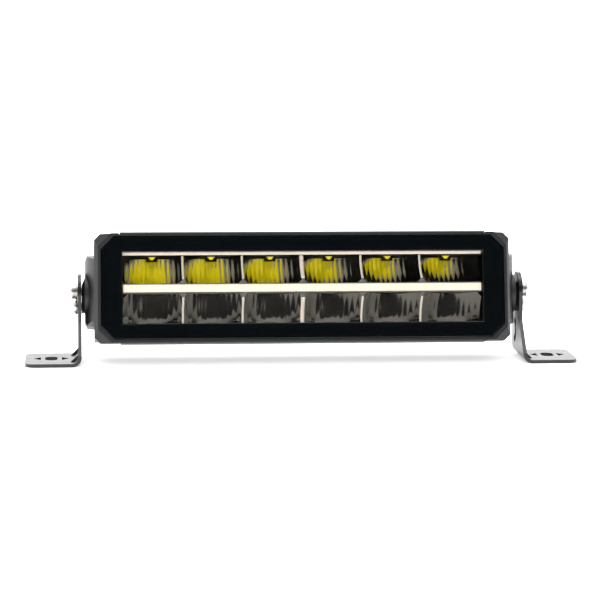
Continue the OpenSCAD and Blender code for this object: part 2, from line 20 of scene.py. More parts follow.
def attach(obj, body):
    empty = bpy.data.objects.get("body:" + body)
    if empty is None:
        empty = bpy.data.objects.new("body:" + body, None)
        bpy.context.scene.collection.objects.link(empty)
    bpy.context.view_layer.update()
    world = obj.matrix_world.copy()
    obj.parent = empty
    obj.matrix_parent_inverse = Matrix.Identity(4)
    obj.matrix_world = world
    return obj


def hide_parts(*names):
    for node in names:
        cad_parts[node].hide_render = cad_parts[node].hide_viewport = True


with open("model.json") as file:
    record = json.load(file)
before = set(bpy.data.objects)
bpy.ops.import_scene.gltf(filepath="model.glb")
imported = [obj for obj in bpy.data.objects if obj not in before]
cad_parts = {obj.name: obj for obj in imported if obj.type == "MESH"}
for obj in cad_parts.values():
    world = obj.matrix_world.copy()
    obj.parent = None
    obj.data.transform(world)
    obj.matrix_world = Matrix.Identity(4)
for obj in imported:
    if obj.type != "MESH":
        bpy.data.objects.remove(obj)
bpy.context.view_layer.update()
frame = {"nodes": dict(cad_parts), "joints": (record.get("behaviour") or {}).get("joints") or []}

logging.basicConfig(level=logging.INFO, format="%(message)s")
LOG = logging.getLogger("light_bar")
MM = 0.001
SMOOTH_DEG = 38.0
MERGE_M = 2e-6
FLAT_DEG = 0.6


# ---- colour and nodes ---------------------------------------------------------------------------


def linear(colour: str) -> tuple[float, float, float, float]:
    """Turns an sRGB hex colour to linear values.

    Args:
        colour: six hex digits after a hash sign.

    Returns:
        Red, green, blue and an alpha of 1.
    """
    parts = [int(colour[i : i + 2], 16) / 255 for i in (1, 3, 5)]
    bright = [c / 12.92 if c <= 0.04045 else ((c + 0.055) / 1.055) ** 2.4 for c in parts]
    return (bright[0], bright[1], bright[2], 1.0)


def add_node(tree: bpy.types.NodeTree, kind: str, settings: dict, inputs: dict) -> bpy.types.Node:
    """Adds a node with its settings and its links.

    Args:
        tree: the node tree.
        kind: the node's type name.
        settings: values of the node's own fields.
        inputs: a value or an output socket for each input, by its name or number.

    Returns:
        The new node.
    """
    made = tree.nodes.new(kind)
    for name, value in settings.items():
        setattr(made, name, value)
    for key, value in inputs.items():
        if isinstance(value, bpy.types.NodeSocket):
            tree.links.new(value, made.inputs[key])
        else:
            made.inputs[key].default_value = value
    return made


# ---- finishes -----------------------------------------------------------------------------------


class Grain(Enum):
    """Kinds of surface grain."""

    ORANGE_PEEL = "orange peel of a powder coat"
    SPARK = "spark-eroded mould texture"
    CLOUD = "soft clouding"
    DRAWN = "lines drawn along x"
    TRACES = "copper tracks under solder mask"
    GRIT = "mineral grit"


@dataclass(frozen=True)
class Finish:
    """A finish with mottled colour, swinging roughness and a grain in relief."""

    title: str
    colour: str
    shade: str
    roughness: float
    metallic: float = 0.0
    grain: Grain = Grain.CLOUD
    grain_mm: float = 0.8
    relief_mm: float = 0.01
    swing: float = 0.06
    cloud_mm: float = 18.0
    shader: dict = field(default_factory=dict)

    def _grain(self, tree: bpy.types.NodeTree, place: bpy.types.NodeSocket) -> bpy.types.NodeSocket:
        """Draws the grain.

        Args:
            tree: the material's node tree.
            place: object coordinates in metres.

        Returns:
            A value from 0 to 1.
        """
        per_metre = 1000.0 / self.grain_mm
        if self.grain is Grain.ORANGE_PEEL:
            cells = add_node(
                tree,
                "ShaderNodeTexVoronoi",
                {"feature": "SMOOTH_F1"},
                {"Vector": place, "Scale": per_metre, "Smoothness": 0.8},
            )
            return cells.outputs["Distance"]
        if self.grain is Grain.DRAWN:
            along = add_node(
                tree, "ShaderNodeMapping", {}, {"Vector": place, "Scale": (0.012, 1.0, 1.0)}
            )
            lines = add_node(
                tree,
                "ShaderNodeTexNoise",
                {},
                {"Vector": along.outputs[0], "Scale": per_metre, "Detail": 3.0},
            )
            return lines.outputs[0]
        if self.grain is Grain.TRACES:
            tracks = add_node(
                tree,
                "ShaderNodeTexBrick",
                {"offset": 0.5},
                {
                    "Vector": place,
                    "Scale": per_metre,
                    "Mortar Size": 0.06,
                    "Mortar Smooth": 0.4,
                    "Color1": (1, 1, 1, 1),
                    "Color2": (0.8, 0.8, 0.8, 1),
                    "Mortar": (0, 0, 0, 1),
                },
            )
            return tracks.outputs["Color"]
        detail = {Grain.SPARK: 2.0, Grain.GRIT: 6.0, Grain.CLOUD: 3.0}[self.grain]
        noise = add_node(
            tree,
            "ShaderNodeTexNoise",
            {},
            {"Vector": place, "Scale": per_metre, "Detail": detail, "Roughness": 0.6},
        )
        return noise.outputs[0]

    def material(self) -> bpy.types.Material:
        """Builds the material, or finds it if it's there already.

        Returns:
            The finish's material.
        """
        known = bpy.data.materials.get(self.title)
        if known is not None:
            return known
        made = bpy.data.materials.new(self.title)
        made.use_nodes = True
        tree = made.node_tree
        tree.nodes.clear()
        place = add_node(tree, "ShaderNodeTexCoord", {}, {}).outputs["Object"]
        grain = self._grain(tree, place)
        cloud = add_node(
            tree,
            "ShaderNodeTexNoise",
            {},
            {"Vector": place, "Scale": 1000.0 / self.cloud_mm, "Detail": 4.0},
        ).outputs[0]
        blend = add_node(
            tree,
            "ShaderNodeMix",
            {"data_type": "FLOAT"},
            {"Factor": 0.35, 2: cloud, 3: grain},
        ).outputs[0]
        colour = add_node(
            tree,
            "ShaderNodeMix",
            {"data_type": "RGBA"},
            {"Factor": blend, 6: linear(self.colour), 7: linear(self.shade)},
        ).outputs[2]
        gloss = add_node(
            tree,
            "ShaderNodeMapRange",
            {},
            {
                "Value": blend,
                "From Min": 0.3,
                "From Max": 0.7,
                "To Min": max(0.0, self.roughness - self.swing),
                "To Max": self.roughness + self.swing,
            },
        ).outputs[0]
        bump = add_node(
            tree,
            "ShaderNodeBump",
            {},
            {"Strength": 1.0, "Distance": self.relief_mm * MM, "Height": grain},
        ).outputs[0]
        surface = add_node(
            tree,
            "ShaderNodeBsdfPrincipled",
            {},
            {
                "Base Color": colour,
                "Roughness": gloss,
                "Normal": bump,
                "Metallic": self.metallic,
                **self.shader,
            },
        )
        add_node(tree, "ShaderNodeOutputMaterial", {}, {"Surface": surface.outputs[0]})
        return made


@dataclass(frozen=True)
class ClearFinish:
    """Hard-coated clear polycarbonate: nearly unseen face on, glossy where it is grazed."""

    title: str = "clear_hard_coated_polycarbonate"
    tint: str = "#F6F4F1"
    ior: float = 1.585
    smear_mm: float = 30.0

    def material(self) -> bpy.types.Material:
        """Builds the clear material.

        Returns:
            A mix of a tinted see-through shader and a fine gloss.
        """
        made = bpy.data.materials.get(self.title) or bpy.data.materials.new(self.title)
        made.use_nodes = True
        tree = made.node_tree
        tree.nodes.clear()
        place = add_node(tree, "ShaderNodeTexCoord", {}, {}).outputs["Object"]
        smear = add_node(
            tree,
            "ShaderNodeTexNoise",
            {},
            {"Vector": place, "Scale": 1000.0 / self.smear_mm, "Detail": 5.0},
        ).outputs[0]
        gloss = add_node(
            tree, "ShaderNodeMapRange", {}, {"Value": smear, "To Min": 0.01, "To Max": 0.05}
        ).outputs[0]
        clear = add_node(tree, "ShaderNodeBsdfTransparent", {}, {"Color": linear(self.tint)})
        shine = add_node(
            tree,
            "ShaderNodeBsdfPrincipled",
            {},
            {"Base Color": linear("#0C0E0F"), "Roughness": gloss, "IOR": self.ior},
        )
        facing = add_node(tree, "ShaderNodeFresnel", {}, {"IOR": self.ior})
        # Only the outer side reflects: the see-through shader doesn't bend rays on their way out
        inner_side = add_node(tree, "ShaderNodeNewGeometry", {}, {}).outputs["Backfacing"]
        outer_side = add_node(
            tree, "ShaderNodeMath", {"operation": "SUBTRACT"}, {0: 1.0, 1: inner_side}
        ).outputs[0]
        mirrored = add_node(
            tree, "ShaderNodeMath", {"operation": "MULTIPLY"},
            {0: facing.outputs[0], 1: outer_side},
        ).outputs[0]
        mixed = add_node(
            tree,
            "ShaderNodeMixShader",
            {},
            {0: mirrored, 1: clear.outputs[0], 2: shine.outputs[0]},
        )
        add_node(tree, "ShaderNodeOutputMaterial", {}, {"Surface": mixed.outputs[0]})
        return made


# Satin black powder coat on extruded aluminium: soft wide highlights, a very fine orange peel
EXTRUSION = Finish(
    "satin_powder_coated_extrusion", "#0D0E0F", "#121315", 0.38, grain=Grain.ORANGE_PEEL,
    grain_mm=0.7, relief_mm=0.02, shader={"IOR": 1.5, "Specular IOR Level": 0.5},
)
# Black powder coat on a die casting: a little greyer and rougher, grain 0.9 mm
CASTING = Finish(
    "textured_powder_coated_casting", "#0F1011", "#151618", 0.42, grain=Grain.ORANGE_PEEL,
    grain_mm=0.9, relief_mm=0.035, shader={"IOR": 1.5, "Specular IOR Level": 0.42},
)
# Satin black powder coat on bent steel: bright wide sheen on the foot
STEEL_COAT = Finish(
    "satin_powder_coated_steel", "#0A0A0B", "#101011", 0.3, grain=Grain.ORANGE_PEEL,
    grain_mm=0.8, relief_mm=0.02, shader={"IOR": 1.5},
)
# Polished black polycarbonate border: deep, nearly mirror-like, a faint blue cast
GLOSS_BLACK = Finish(
    "gloss_black_moulded_polycarbonate", "#030405", "#050708", 0.06, grain_mm=6.0,
    relief_mm=0.002, swing=0.02, cloud_mm=40, shader={"IOR": 1.585},
)
# Vacuum-metallised reflector: bright mirror with a slight haze
MIRROR = Finish(
    "vacuum_metallised_reflector", "#D8D9DA", "#CDCED0", 0.07, metallic=1.0, grain_mm=2.5,
    relief_mm=0.002, swing=0.03, cloud_mm=12,
)
# Reflector ridges and flange painted milky white: a painted highlight for the chrome edges that
# catch the light, softly glossy
PAINTED_HIGHLIGHT_EDGE = Finish(
    "white_painted_highlight_edge", "#D9D5CE", "#CBC7C0", 0.35, grain_mm=0.6, relief_mm=0.01,
    cloud_mm=8,
)
# White solder mask over copper tracks: smooth, slightly glossy, tracks just raised
WHITE_BOARD = Finish(
    "white_solder_mask_board", "#D9D8D2", "#E8E7E2", 0.35, grain=Grain.TRACES, grain_mm=9.0,
    relief_mm=0.03,
)
# Green solder mask: dark and glossy, tracks just raised
GREEN_BOARD = Finish(
    "green_solder_mask_board", "#1A4A30", "#23633F", 0.3, grain=Grain.TRACES, grain_mm=6.0,
    relief_mm=0.03,
)
# Opal acrylic light guide: cream, milky and softly glossy
OPAL = Finish(
    "opal_acrylic_light_guide", "#CFCAC1", "#D9D4CC", 0.38, grain_mm=1.2, relief_mm=0.004,
    cloud_mm=14,
    shader={"IOR": 1.49, "Subsurface Weight": 0.1, "Subsurface Scale": 0.002,
            "Subsurface Radius": (1.0, 0.9, 0.8)},
)
# Grey moulded carrier with a fine spark texture
GREY_PLASTIC = Finish(
    "grey_moulded_polycarbonate", "#4A4C4E", "#595B5E", 0.35, grain=Grain.SPARK, grain_mm=0.5,
    relief_mm=0.008,
)
# Phosphor in silicone: strong lemon yellow, faintly grainy, slightly wet, with a faint painted glow
# from its emission so the domes show bright in the mirrors
GLOWING_PHOSPHOR = Finish(
    "yellow_phosphor_with_painted_glow", "#F2E614", "#EAD80A", 0.3, grain=Grain.GRIT, grain_mm=0.25,
    relief_mm=0.01, cloud_mm=3,
    shader={"Emission Color": linear("#EEDD10"), "Emission Strength": 0.35, "IOR": 1.41},
)
# White moulded LED package: clean off-white with a fine matt texture
LED_PACKAGE = Finish(
    "white_led_package", "#DEDDD4", "#CFCEC5", 0.4, grain=Grain.SPARK, grain_mm=0.3,
    relief_mm=0.005,
)
# Matt black moulding round each LED: soaks up stray light
BLACK_SHROUD = Finish(
    "matt_black_led_shroud", "#050506", "#0A0A0B", 0.6, grain=Grain.SPARK, grain_mm=0.4,
    relief_mm=0.01,
)
# The lower row's shrouds are a dark grey copy of the black shroud, painted light so their cups look
# grey rather than black
LIGHTENED_SHROUD = Finish(
    "lightened_led_shroud_painted_light", "#3A3B3E", "#434448", 0.5, grain=Grain.SPARK, grain_mm=0.4,
    relief_mm=0.01,
)
# Glass-filled black nylon: satin with a dull bloom
BLACK_NYLON = Finish(
    "glass_filled_black_nylon", "#101112", "#1B1C1D", 0.45, grain=Grain.SPARK, grain_mm=0.45,
    relief_mm=0.02,
)
# Black moulded spacer: dull, nearly black, soft highlight
SPACER_PLASTIC = Finish(
    "moulded_black_spacer_plastic", "#09090A", "#121213", 0.5, grain=Grain.SPARK,
    grain_mm=0.5, relief_mm=0.012,
)
# Moulded rubber: matt charcoal with a slight bloom
RUBBER = Finish(
    "black_moulded_rubber", "#131313", "#1E1E1E", 0.72, grain=Grain.SPARK, grain_mm=0.35,
    relief_mm=0.015, shader={"Sheen Weight": 0.15, "Sheen Roughness": 0.5},
)
# Silicone gasket: matt, a little lighter than the rubber
SILICONE = Finish(
    "black_silicone_gasket", "#161616", "#202020", 0.6, grain=Grain.CLOUD, grain_mm=1.5,
    relief_mm=0.02,
)
# Stainless steel, machined and bright: warm white, fine grain, a little of it diffuse
STAINLESS = Finish(
    "bright_stainless_steel", "#E4E1DC", "#D2CFCA", 0.24, metallic=0.8, grain=Grain.CLOUD,
    grain_mm=0.35, relief_mm=0.004, cloud_mm=4,
)
# Stamped stainless washer: duller, lightly scratched
WASHER_STEEL = Finish(
    "stamped_stainless_steel", "#B9B6B1", "#A19E99", 0.32, metallic=1.0, grain=Grain.GRIT,
    grain_mm=0.6, relief_mm=0.006, cloud_mm=3,
)
# Zinc-plated screws: cool grey metal with cloudy patches
ZINC = Finish(
    "zinc_plated_steel", "#B4B8BC", "#9DA3A8", 0.3, metallic=1.0, grain_mm=1.0,
    relief_mm=0.004, cloud_mm=3,
)
# Machined brass inserts: warm yellow metal
BRASS = Finish(
    "machined_brass", "#C9A24B", "#B78F3C", 0.25, metallic=1.0, grain_mm=0.5,
    relief_mm=0.004, cloud_mm=3,
)
# Thermal pad: blue-grey, gritty and matt
THERMAL_PAD = Finish(
    "grey_silicone_thermal_pad", "#8C99A6", "#9DAAB6", 0.7, grain=Grain.GRIT, grain_mm=0.4,
    relief_mm=0.02,
)
# Sintered ferrite: dark grey and stony
FERRITE = Finish(
    "sintered_ferrite", "#3A3A3C", "#4A4A4D", 0.55, grain=Grain.GRIT, grain_mm=0.5,
    relief_mm=0.015,
)
# Shrunk sleeve on a can: smooth slate blue
CAPACITOR = Finish(
    "capacitor_can_sleeve", "#5E6B77", "#72808D", 0.3, grain_mm=2.0, relief_mm=0.01,
)
# Natural nylon: milky off-white
NYLON = Finish(
    "natural_nylon_connector", "#E5E3D8", "#D6D4C8", 0.4, grain=Grain.SPARK, grain_mm=0.5,
    relief_mm=0.008,
)
# Silicone insulation: dull red, slightly waxy
WIRE = Finish(
    "red_silicone_wire_insulation", "#8E1F1A", "#A52A22", 0.5, grain_mm=1.0, relief_mm=0.01,
)
# Floor paint: plain and pale, with a faint glow that keeps shadows light
FLOOR_PAINT = Finish(
    "pale_studio_floor", "#F4F4F4", "#F0F0F0", 0.7, grain_mm=40, relief_mm=0.0, cloud_mm=900,
    shader={"Emission Color": linear("#FFFFFF"), "Emission Strength": 0.4},
)
CLEAR = ClearFinish()


# ---- placing and finishing pieces ---------------------------------------------------------------


@dataclass(frozen=True)
class LampPlace:
    """Where the lamp frame sits in the world."""

    tilt_deg: float = 13.0
    pivot_back: float = 28.5

    def matrix(self) -> Matrix:
        """Lamp millimetres to world metres, about the tilt joint."""
        pivot = frame["joints"][0]["pos_m"]
        return (
            Matrix.Translation((0, pivot[1], pivot[2]))
            @ Matrix.Rotation(-math.radians(self.tilt_deg), 4, "X")
            @ Matrix.Scale(MM, 4)
            @ Matrix.Translation((0, -self.pivot_back, 0))
        )


LAMP = LampPlace().matrix()


def sharpen(bm: bmesh.types.BMesh, angle_deg: float) -> None:
    """Shades a mesh smooth, apart from edges that turn more than an angle.

    Args:
        bm: the mesh.
        angle_deg: the least turn of a sharp edge.
    """
    limit = math.radians(angle_deg)
    for face in bm.faces:
        face.smooth = True
    for edge in bm.edges:
        edge.smooth = len(edge.link_faces) == 2 and edge.calc_face_angle(0.0) < limit


def place_piece(
    name: str,
    bm: bmesh.types.BMesh,
    finish: Finish | ClearFinish,
    body: str = "lamp",
    nodes: Iterable[str] = (),
    weighted: bool = True,
) -> bpy.types.Object:
    """Makes an object of a finished mesh and ties it to the frame.

    Args:
        name: the piece's name.
        bm: its mesh, in world metres; it is freed.
        finish: what it is made of.
        body: the body it rides on.
        nodes: the CAD nodes that it stands for.
        weighted: whether large faces set the normals at their edges.

    Returns:
        The piece.
    """
    mesh = bpy.data.meshes.new(name)
    bm.to_mesh(mesh)
    bm.free()
    piece = bpy.data.objects.new(name, mesh)
    bpy.context.scene.collection.objects.link(piece)
    mesh.materials.append(finish.material())
    if weighted:
        normals = piece.modifiers.new("face_weighted_normals", "WEIGHTED_NORMAL")
        normals.keep_sharp = True
        normals.weight = 80
    if nodes:
        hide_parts(*nodes)
    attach(piece, body)
    LOG.info("%s: %d faces, rides on %s", name, len(mesh.polygons), body)
    return piece


def softened(
    node: str, width_mm: float, segments: int = 2, angle_deg: float = 24.0
) -> bmesh.types.BMesh:
    """Copies a CAD node's mesh, merges it and rounds its sharp edges.

    Args:
        node: the CAD node.
        width_mm: width of the rounding.
        segments: steps across it.
        angle_deg: the least turn of an edge that is rounded.

    Returns:
        The rounded mesh, in world metres.
    """
    bm = bmesh.new()
    bm.from_mesh(frame["nodes"][node].data)
    bmesh.ops.remove_doubles(bm, verts=bm.verts, dist=MERGE_M)
    bmesh.ops.dissolve_limit(
        bm, angle_limit=math.radians(FLAT_DEG), verts=bm.verts, edges=bm.edges,
        delimit={"NORMAL"},
    )
    limit = math.radians(angle_deg)
    sharp = [e for e in bm.edges if len(e.link_faces) == 2 and e.calc_face_angle(0.0) > limit]
    bmesh.ops.bevel(
        bm, geom=sharp, offset=width_mm * MM, offset_type="OFFSET", segments=segments,
        profile=0.5, affect="EDGES", clamp_overlap=True, material=-1,
    )
    sharpen(bm, SMOOTH_DEG)
    return bm


def block(bm: bmesh.types.BMesh, low: tuple, high: tuple) -> list:
    """Adds a block given by two corners.

    Args:
        bm: the mesh.
        low: its lowest corner.
        high: its highest corner.

    Returns:
        The block's vertices.
    """
    size = [h - l for l, h in zip(low, high)]
    middle = [(h + l) / 2 for l, h in zip(low, high)]
    matrix = Matrix.Translation(middle) @ Matrix.Diagonal((*size, 1.0))
    return bmesh.ops.create_cube(bm, size=1.0, matrix=matrix)["verts"]


def round_edges(
    bm: bmesh.types.BMesh, width: float, segments: int = 2, angle_deg: float = 30.0
) -> None:
    """Bevels every edge that turns more than an angle.

    Args:
        bm: the mesh.
        width: width of the bevel, in the mesh's units.
        segments: steps across it.
        angle_deg: the least turn.
    """
    limit = math.radians(angle_deg)
    edges = [e for e in bm.edges if len(e.link_faces) == 2 and e.calc_face_angle(0.0) > limit]
    bmesh.ops.bevel(
        bm, geom=edges, offset=width, offset_type="OFFSET", segments=segments, profile=0.5,
        affect="EDGES", clamp_overlap=True, material=-1,
    )


def dress(node: str, finish: Finish | ClearFinish) -> None:
    """Gives a carried-over CAD node its finish.

    Args:
        node: the node's name.
        finish: what it is made of.
    """
    mesh = frame["nodes"][node].data
    mesh.materials.clear()
    mesh.materials.append(finish.material())
    LOG.info("%s: CAD node dressed in %s", node, finish.title)


# ---- housing and end caps -----------------------------------------------------------------------


@dataclass
class Housing:
    """Extruded housing, its end caps and what closes them."""

    edge_mm: float = 0.28
    cap_edge_mm: float = 0.4
    screw_edge_mm: float = 0.15

    def build(self) -> None:
        """Makes the housing and both end caps."""
        place_piece(
            "housing_extrusion", softened("housing", self.edge_mm), EXTRUSION,
            nodes=["housing"],
        )
        for side in ("left", "right"):
            place_piece(
                f"{side}_cap_casting", softened(f"{side}_end_cap", self.cap_edge_mm), CASTING,
                nodes=[f"{side}_end_cap"],
            )
            dress(f"{side}_cap_gasket", SILICONE)
        place_piece(
            "cap_screws", softened("end_cap_screws", self.screw_edge_mm), STAINLESS,
            nodes=["end_cap_screws"],
        )


# ---- lens ---------------------------------------------------------------------------------------


@dataclass
class Lens:
    """Glossy border, clear window and seal."""

    half_w: float = 137.9
    half_h: float = 35.1
    corner: float = 9.2
    front: float = 1.2
    back: float = 5.0
    window_half_w: float = 123.5
    window_half_h: float = 24.3
    edge: float = 0.55
    pane_edge: float = 0.12
    slack: float = 0.1

    def border(self) -> bmesh.types.BMesh:
        """Makes the octagonal border with its window.

        Returns:
            The border's mesh in world metres.
        """
        bm = bmesh.new()
        block(
            bm, (-self.half_w, self.front, -self.half_h), (self.half_w, self.back, self.half_h)
        )
        least = self.back - self.front - self.slack
        uprights = [e for e in bm.edges if abs(e.verts[0].co.y - e.verts[1].co.y) > least]
        bmesh.ops.bevel(
            bm, geom=uprights, offset=self.corner, offset_type="OFFSET", segments=1, profile=0.5,
            affect="EDGES", material=-1,
        )
        for x, z, along in (
            (self.window_half_w, 0, (1, 0, 0)), (-self.window_half_w, 0, (1, 0, 0)),
            (0, self.window_half_h, (0, 0, 1)), (0, -self.window_half_h, (0, 0, 1)),
        ):
            bmesh.ops.bisect_plane(
                bm, geom=bm.verts[:] + bm.edges[:] + bm.faces[:], plane_co=(x, 0, z),
                plane_no=along,
            )
        inside = [
            f for f in bm.faces
            if abs(f.calc_center_median().x) < self.window_half_w
            and abs(f.calc_center_median().z) < self.window_half_h
            and abs(f.normal.y) > 0.9
        ]
        rims = [
            [e for f in inside if f.normal.y * s > 0 for e in f.edges] for s in (1, -1)
        ]
        bmesh.ops.delete(bm, geom=inside, context="FACES")
        bmesh.ops.bridge_loops(bm, edges=[e for r in rims for e in r if e.is_valid])
        round_edges(bm, self.edge)
        bmesh.ops.recalc_face_normals(bm, faces=bm.faces)
        sharpen(bm, SMOOTH_DEG)
        bm.transform(LAMP)
        return bm

    def window(self) -> bmesh.types.BMesh:
        """Makes the clear window with its stepped back.

        Returns:
            The window's mesh in world metres.
        """
        return softened("lens_window", self.pane_edge)

    def build(self) -> None:
        """Makes the border and the window and dresses the seal."""
        place_piece(
            "lens_border", self.border(), GLOSS_BLACK, nodes=["lens_mask"]
        )
        place_piece("lens_pane", self.window(), CLEAR, nodes=["lens_window"])
        dress("lens_seal", SILICONE)


# ---- reflectors ---------------------------------------------------------------------------------


@dataclass
class ReflectorRow:
    """One row of fluted paraboloid cups with its ridges, gussets and LED shrouds."""

    name: str
    side: int
    cells: int = 6
    pitch: float = 41.0
    focal: float = 5.8
    axis_z: float = 23.2
    front: float = 7.5
    cup_r: float = 26.25
    low: float = 3.5
    top: float = 23.0
    flutes: int = 12
    middle_bow: float = 20.0
    edge_bow: float = 7.0
    steps_across: int = 6
    steps_up: int = 30
    notch_half: float = 4.0
    notch_low: float = 21.2
    led_back: float = 2.0
    shroud_half: float = 4.6
    shroud_front: float = 4.5
    shroud_low: float = 24.5
    shroud_top: float = 25.0
    flange_low: float = 22.8
    flange_top: float = 24.9
    flange_t: float = 1.4
    ceiling_low: float = 23.8
    ceiling_top: float = 24.5
    ceiling_stop: float = 4.4
    end_wall: float = 0.3
    shell_t: float = 1.2
    flute_turn_deg: float = 9.0
    merge: float = 1e-4
    ridge_w: float = 1.5
    ridge_proud: float = 0.75
    ridge_round: float = 2.6
    ridge_t: float = 0.8
    ridge_over: float = 0.4
    gusset_t: float = 1.2
    gusset_front: float = 0.3

    @property
    def reach(self) -> float:
        """Half of the row's length, with its end walls."""
        return self.cells * self.pitch / 2 + self.end_wall

    @property
    def foot_z(self) -> float:
        """Height of a ridge's foot."""
        return self.axis_z - math.sqrt(self.cup_r**2 - (self.pitch / 2) ** 2)

    @property
    def vertex(self) -> float:
        """Depth of the paraboloid's vertex."""
        return self.front + self.cup_r**2 / (4 * self.focal)

    @property
    def led(self) -> float:
        """Depth of the LED's middle, a little behind the focus."""
        return self.vertex - self.focal + self.led_back

    def centres(self) -> list[float]:
        """Centres of the cells along x."""
        return [(i - (self.cells - 1) / 2) * self.pitch for i in range(self.cells)]

    def depth(self, x: float, z: float) -> float:
        """Depth of the fluted mirror at a point of one cell.

        Args:
            x: distance from the cell's middle.
            z: height above mid-height, on the upper row.

        Returns:
            The depth behind the front rim.
        """
        width = self.pitch / self.flutes
        local = x - (math.floor(x / width) + 0.5) * width
        local = min(max(local, -width / 2), width / 2)
        out = min(1.0, abs(x) / (self.pitch / 2))
        radius = self.middle_bow + (self.edge_bow - self.middle_bow) * out * out
        bow = (width * width / 4 - local * local) / (2 * radius)
        return self.vertex - (x * x + (z - self.axis_z) ** 2) / (4 * self.focal) - bow

    def dish(self, bm: bmesh.types.BMesh, centre: float) -> None:
        """Adds one cell's fluted mirror.

        Args:
            bm: the mesh, in lamp millimetres.
            centre: the cell's middle along x.
        """
        grid = bmesh.ops.create_grid(
            bm, x_segments=self.flutes * self.steps_across, y_segments=self.steps_up, size=0.5
        )["verts"]
        for vert in grid:
            x = vert.co.x * self.pitch
            z = self.low + (vert.co.y + 0.5) * (self.top - self.low)
            inner = x - math.copysign(1e-6, x)
            vert.co = (centre + x, self.depth(inner, z), z)

    def mirror_mesh(self) -> bmesh.types.BMesh:
        """Makes the row's mirror as one shell.

        Returns:
            The mirror in world metres.
        """
        bm = bmesh.new()
        for centre in self.centres():
            self.dish(bm, centre)
        bmesh.ops.bisect_plane(
            bm, geom=bm.verts[:] + bm.edges[:] + bm.faces[:], plane_co=(0, self.front, 0),
            plane_no=(0, 1, 0), clear_inner=True,
        )
        planes = [((0, 0, self.notch_low), (0, 0, 1))]
        for centre in self.centres():
            planes += [((centre + s * self.notch_half, 0, 0), (1, 0, 0)) for s in (-1, 1)]
        for spot, along in planes:
            near = [
                f for f in bm.faces if max(v.co.z for v in f.verts) > self.notch_low - 1.5
            ]
            geom = list({v for f in near for v in f.verts} | {e for f in near for e in f.edges})
            bmesh.ops.bisect_plane(bm, geom=geom + near, plane_co=spot, plane_no=along)
        gone = []
        for face in bm.faces:
            mid = face.calc_center_median()
            if mid.z > self.notch_low and any(
                abs(mid.x - c) < self.notch_half for c in self.centres()
            ):
                gone.append(face)
        bmesh.ops.delete(bm, geom=gone, context="FACES")
        bmesh.ops.remove_doubles(bm, verts=bm.verts, dist=self.merge)
        bmesh.ops.recalc_face_normals(bm, faces=bm.faces)
        if sum(f.normal.y for f in bm.faces) > 0:
            bmesh.ops.reverse_faces(bm, faces=bm.faces)
        bmesh.ops.solidify(bm, geom=bm.faces[:], thickness=self.shell_t)
        return self.to_world(bm, self.flute_turn_deg)

    def to_world(self, bm: bmesh.types.BMesh, angle_deg: float = SMOOTH_DEG) -> bmesh.types.BMesh:
        """Mirrors a mesh to its row, sets its shading and puts it in the world.

        Args:
            bm: a mesh in lamp millimetres, drawn for the upper row.
            angle_deg: the least turn of a sharp edge.

        Returns:
            The same mesh.
        """
        if self.side < 0:
            bmesh.ops.scale(bm, vec=(1, 1, -1), verts=bm.verts)
            bmesh.ops.reverse_faces(bm, faces=bm.faces)
        sharpen(bm, angle_deg)
        bm.transform(LAMP)
        return bm

    def ridges(self) -> bmesh.types.BMesh:
        """Makes the rounded ridges between the cups.

        Returns:
            The mesh in world metres.
        """
        bm = bmesh.new()
        half = self.pitch / 2
        foot = self.foot_z - self.ridge_over
        rise = self.top - self.foot_z + 2 * self.ridge_over
        for i in range(-self.cells // 2 + 1, self.cells // 2):
            grid = bmesh.ops.create_grid(bm, x_segments=8, y_segments=24, size=0.5)["verts"]
            for vert in grid:
                across = vert.co.x
                z = foot + (vert.co.y + 0.5) * rise
                y = self.vertex - (half**2 + (z - self.axis_z) ** 2) / (4 * self.focal)
                proud = self.ridge_proud - across**2 * self.ridge_round
                vert.co = (
                    i * self.pitch + across * self.ridge_w, max(y, self.front) - proud, z
                )
        bmesh.ops.recalc_face_normals(bm, faces=bm.faces)
        if sum(f.normal.y for f in bm.faces) > 0:
            bmesh.ops.reverse_faces(bm, faces=bm.faces)
        bmesh.ops.solidify(bm, geom=bm.faces[:], thickness=self.ridge_t)
        return self.to_world(bm)

    def gussets(self) -> bmesh.types.BMesh:
        """Makes the dark webs at the foot of each ridge, with rounded bright edges.

        Returns:
            The mesh in world metres.
        """
        bm = bmesh.new()
        half = self.pitch / 2
        for i in range(-self.cells // 2 + 1, self.cells // 2):
            outline = []
            for s in (-1, 1):
                arc = []
                for step in range(5):
                    z = self.low + step / 4 * (self.foot_z - self.low)
                    reach = half - math.sqrt(max(0.0, self.cup_r**2 - (z - self.axis_z) ** 2))
                    side = i * self.pitch + s * max(reach, 0.0)
                    arc.append((side, self.front - self.gusset_front, z))
                outline.append(arc)
            ring = outline[0][:-1] + outline[1][::-1]
            face = bm.faces.new([bm.verts.new(p) for p in ring])
            made = bmesh.ops.extrude_face_region(bm, geom=[face])["geom"]
            bmesh.ops.translate(
                bm, vec=(0, self.gusset_t, 0),
                verts=[g for g in made if isinstance(g, bmesh.types.BMVert)],
            )
        bmesh.ops.recalc_face_normals(bm, faces=bm.faces)
        round_edges(bm, 0.12, 1)
        return self.to_world(bm)

    def shrouds(self) -> bmesh.types.BMesh:
        """Makes the dark moulding behind and over each LED.

        Returns:
            The mesh in world metres.
        """
        bm = bmesh.new()
        for centre in self.centres():
            block(
                bm, (centre - self.shroud_half, self.vertex + 0.2, self.notch_low - 0.6),
                (centre + self.shroud_half, self.vertex + 2.6, self.flange_top),
            )
            block(
                bm, (centre - self.shroud_half, self.led - self.shroud_front, self.shroud_low),
                (centre + self.shroud_half, self.vertex + 0.4, self.shroud_top),
            )
        round_edges(bm, 0.15, 1)
        return self.to_world(bm)

